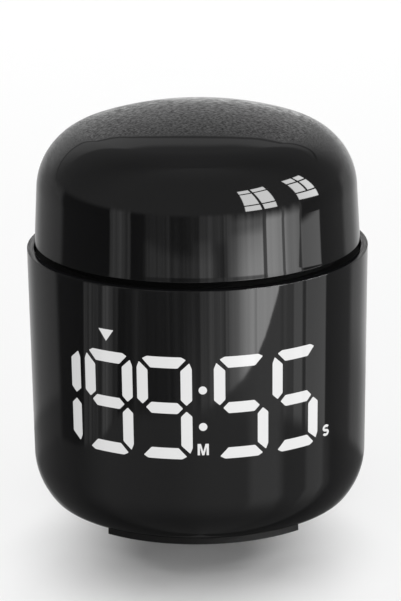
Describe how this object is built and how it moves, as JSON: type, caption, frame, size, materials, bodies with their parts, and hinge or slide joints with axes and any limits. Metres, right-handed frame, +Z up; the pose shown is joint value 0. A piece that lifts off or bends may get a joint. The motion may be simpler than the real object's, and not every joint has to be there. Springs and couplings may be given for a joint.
{
  "type": "digital kitchen timer",
  "caption": "Rotary digital kitchen timer: a round glossy black body with a lit number display under a domed knob that turns and presses, on a low foot with a battery door.",
  "frame": {"origin": "middle of the foot, on the table", "axes": "+Z up along the knob's axis, the display faces -Y, +X to the right of the display"},
  "size_m": [0.065, 0.065, 0.0772],
  "materials": {
    "gloss_black": "gloss",
    "matte_black": "matte",
    "steel": "satin",
    "cell": "satin",
    "lead_red": "satin",
    "lead_black": "satin",
    "white_plastic": "matte",
    "lit_resin": "satin",
    "grey_resin": "satin",
    "flex_amber": "satin",
    "lamp": "gloss",
    "black_plastic": "matte",
    "board_green": "satin",
    "capacitor_can": "satin"
  },
  "bodies": {
    "timer_body": {"body_shell": "gloss_black", "chassis": "matte_black", "chassis_screws": "steel", "battery_1": "cell", "battery_2": "cell", "battery_3": "cell", "battery_springs": "steel", "contact_positive": "steel", "contact_negative": "steel", "contact_link_rear": "steel", "contact_link_front": "steel", "positive_lead": "lead_red", "negative_lead": "lead_black", "light_frame": "white_plastic", "lit_segments": "lit_resin", "unlit_segments": "grey_resin", "display_flex": "flex_amber", "display_leds": "lamp", "display_header": "black_plastic", "main_board": "board_green", "board_screws": "steel", "controller_chip": "black_plastic", "board_capacitor": "capacitor_can", "timing_crystal": "steel", "buzzer": "black_plastic", "encoder_case": "black_plastic", "encoder_pins": "steel", "encoder_bushing": "steel", "encoder_nut": "steel", "encoder_washer": "steel", "detent_spring": "steel", "switch_dome": "steel", "deck": "matte_black", "deck_screws": "steel"},
    "rotor": {"encoder_rotor": "white_plastic"},
    "knob": {"knob_dome": "gloss_black", "knob_carrier": "matte_black", "dome_screws": "steel", "encoder_shaft": "steel"},
    "door": {"battery_door": "matte_black"}
  },
  "joints": [
    {"name": "knob_turn", "type": "hinge", "parent": "timer_body", "child": "rotor", "pos_m": [0, 0, 0.0434], "axis": [0, 0, 1], "continuous": true},
    {"name": "knob_press", "type": "slide", "parent": "rotor", "child": "knob", "axis": [0, 0, -1], "range_m": [0, 0.0006], "stiffness_N_per_m": 1500, "springref_m": -0.001, "deforming": ["switch_dome"]},
    {"name": "door_tilt", "type": "hinge", "parent": "timer_body", "child": "door", "pos_m": [0.01635, 0, 0.0003], "axis": [0, -1, 0], "range_deg": [0, 80]}
  ]
}
